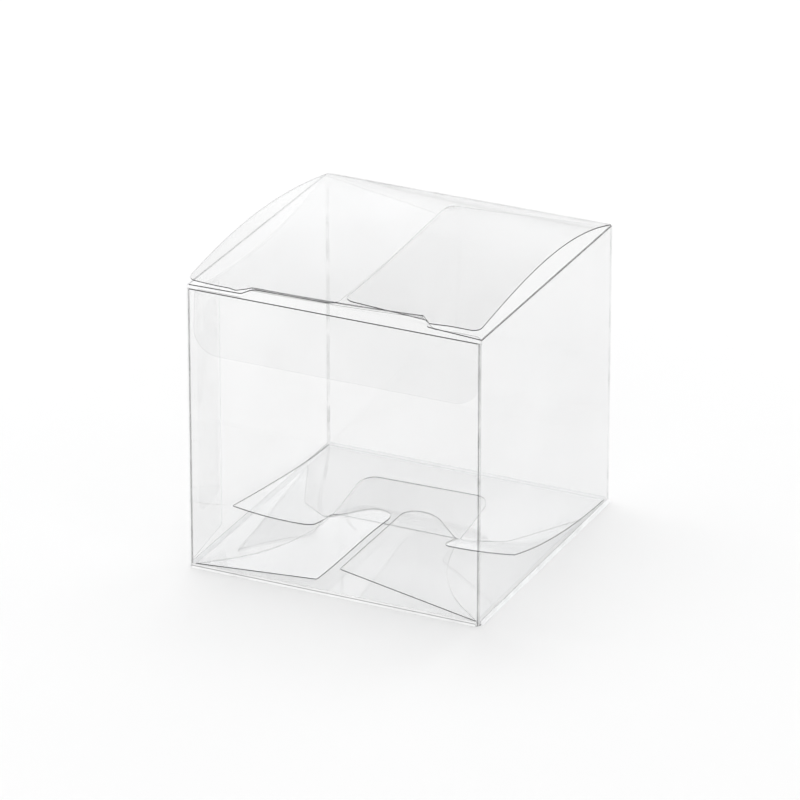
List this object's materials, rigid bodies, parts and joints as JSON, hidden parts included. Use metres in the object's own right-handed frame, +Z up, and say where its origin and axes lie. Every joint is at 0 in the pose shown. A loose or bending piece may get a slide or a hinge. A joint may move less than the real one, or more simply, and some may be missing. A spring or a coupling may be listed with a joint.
{
  "type": "favor box",
  "caption": "Clear film favor box: a creased square sleeve with a bowed tuck lid held by slit-lock shoulders, dust flaps under it and a snap-lock bottom of interlocking flaps.",
  "frame": {"origin": "middle of the base, on the floor plane", "axes": "+Z up, -Y towards the front wall that the tuck flap slides behind, +X to the right"},
  "size_m": [0.076, 0.076, 0.0796],
  "materials": {
    "clear_film": "clear glossy film",
    "film_crease": "clear film, pressed and slightly clouded at the crease",
    "clear_glue": "clear dried glue"
  },
  "bodies": {
    "sleeve": {"front_wall": "clear_film", "right_wall": "clear_film", "back_wall": "clear_film", "left_wall": "clear_film", "front_left_crease": "film_crease", "front_right_crease": "film_crease", "back_right_crease": "film_crease", "back_left_crease": "film_crease", "glue_flap": "clear_film", "glue_line": "clear_glue", "lid_crease": "film_crease", "left_dust_crease": "film_crease", "right_dust_crease": "film_crease", "bottom_front_crease": "film_crease", "bottom_back_crease": "film_crease", "bottom_left_crease": "film_crease", "bottom_right_crease": "film_crease"},
    "lid": {"lid_panel": "clear_film", "tuck_crease": "film_crease"},
    "tuck": {"tuck_flap": "clear_film"},
    "left_dust": {"left_dust_flap": "clear_film"},
    "right_dust": {"right_dust_flap": "clear_film"},
    "bottom_back": {"bottom_back_panel": "clear_film"},
    "bottom_front": {"bottom_front_panel": "clear_film"},
    "bottom_left": {"bottom_left_flap": "clear_film"},
    "bottom_right": {"bottom_right_flap": "clear_film"}
  },
  "joints": [
    {"name": "lid_hinge", "type": "hinge", "parent": "sleeve", "child": "lid", "pos_m": [0, 0.03782, 0.073], "axis": [-1, 0, 0], "range_deg": [0, 165]},
    {"name": "tuck_fold", "type": "hinge", "parent": "lid", "child": "tuck", "pos_m": [0, -0.035, 0.07575], "axis": [1, 0, 0], "range_deg": [0, 41.25]},
    {"name": "left_dust_fold", "type": "hinge", "parent": "sleeve", "child": "left_dust", "pos_m": [-0.03782, 0, 0.073], "axis": [0, -1, 0], "range_deg": [0, 66]},
    {"name": "right_dust_fold", "type": "hinge", "parent": "sleeve", "child": "right_dust", "pos_m": [0.03782, 0, 0.073], "axis": [0, 1, 0], "range_deg": [0, 66]},
    {"name": "bottom_back_fold", "type": "hinge", "parent": "sleeve", "child": "bottom_back", "pos_m": [0, 0.03775, 0.00075], "axis": [-1, 0, 0], "range_deg": [0, 10]},
    {"name": "bottom_front_fold", "type": "hinge", "parent": "sleeve", "child": "bottom_front", "pos_m": [0, -0.03775, 0.0002], "axis": [1, 0, 0], "range_deg": [0, 11]},
    {"name": "bottom_left_fold", "type": "hinge", "parent": "sleeve", "child": "bottom_left", "pos_m": [-0.03775, 0, 0.00055], "axis": [0, -1, 0], "range_deg": [0, 18]},
    {"name": "bottom_right_fold", "type": "hinge", "parent": "sleeve", "child": "bottom_right", "pos_m": [0.03775, 0, 0.00055], "axis": [0, 1, 0], "range_deg": [0, 18]}
  ],
  "couplings": [
    {"joint": "tuck_fold", "follows": "lid_hinge", "ratio": 0.25},
    {"joint": "left_dust_fold", "follows": "lid_hinge", "ratio": 0.4},
    {"joint": "right_dust_fold", "follows": "lid_hinge", "ratio": 0.4},
    {"joint": "bottom_front_fold", "follows": "bottom_back_fold", "ratio": 1.1},
    {"joint": "bottom_left_fold", "follows": "bottom_back_fold", "ratio": 1.8},
    {"joint": "bottom_right_fold", "follows": "bottom_back_fold", "ratio": 1.8}
  ]
}
